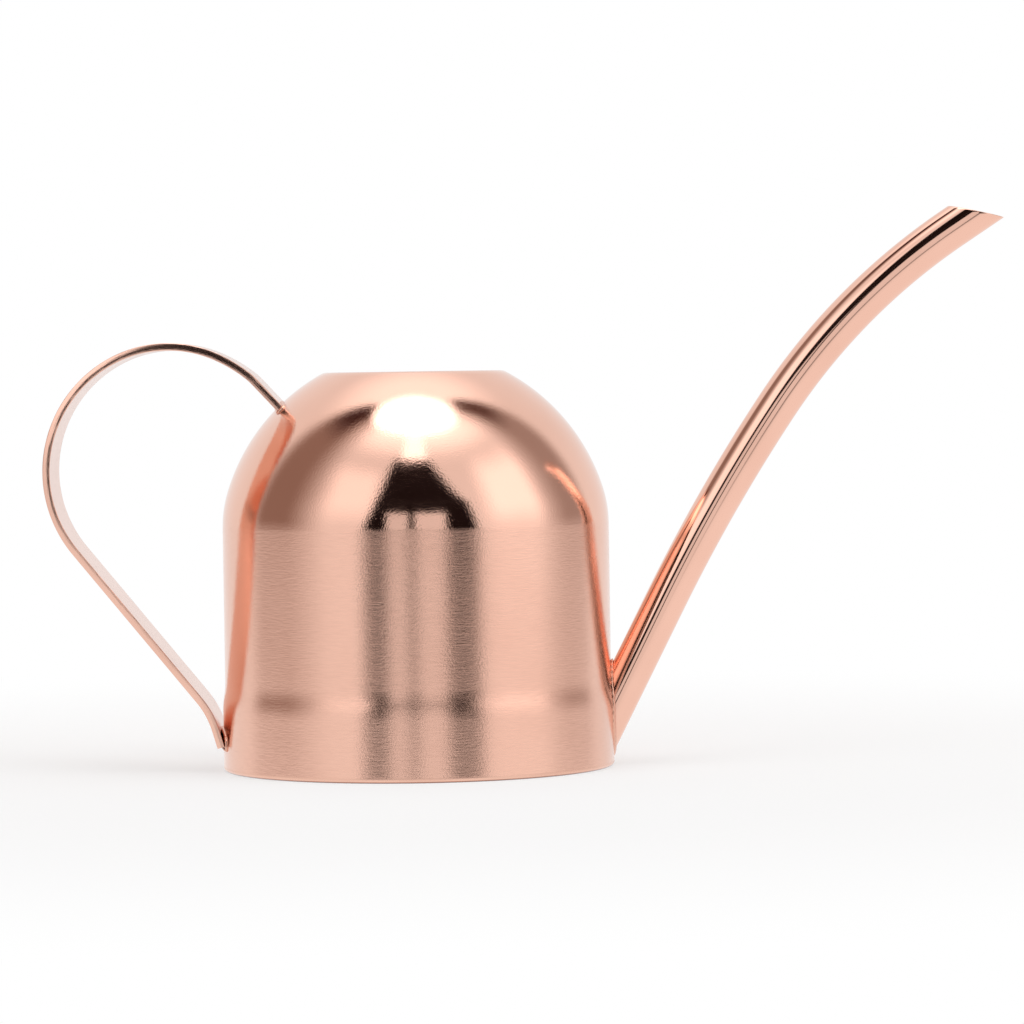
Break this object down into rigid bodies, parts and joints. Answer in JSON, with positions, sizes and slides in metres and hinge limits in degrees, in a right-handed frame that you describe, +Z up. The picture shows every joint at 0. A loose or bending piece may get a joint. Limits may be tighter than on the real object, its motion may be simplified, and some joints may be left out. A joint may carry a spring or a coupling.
{
  "type": "watering can",
  "caption": "Small indoor watering can: domed round metal body with an open mouth, long bent tube spout cut at a slant, and a looped flat strip handle.",
  "frame": {"origin": "centre of the base, on the surface that the can stands on", "axes": "+Z up through the mouth, +X towards the spout, -X towards the handle"},
  "size_m": [0.2814, 0.1146, 0.1621],
  "materials": {
    "body_metal": "copper-plated, brushed round the wall, satin on the dome",
    "base_metal": "copper-plated, satin",
    "spout_metal": "copper-plated, mirror polish",
    "strap_metal": "copper-plated, fine brushing along the strip",
    "weld_metal": "copper-plated weld bead"
  },
  "bodies": {
    "root": {"body_shell": "body_metal", "base_pan": "base_metal", "base_weld": "weld_metal", "spout_tube": "spout_metal", "spout_weld": "weld_metal", "handle_strap": "strap_metal", "handle_lower_weld": "weld_metal", "handle_upper_weld": "weld_metal"}
  },
  "joints": []
}
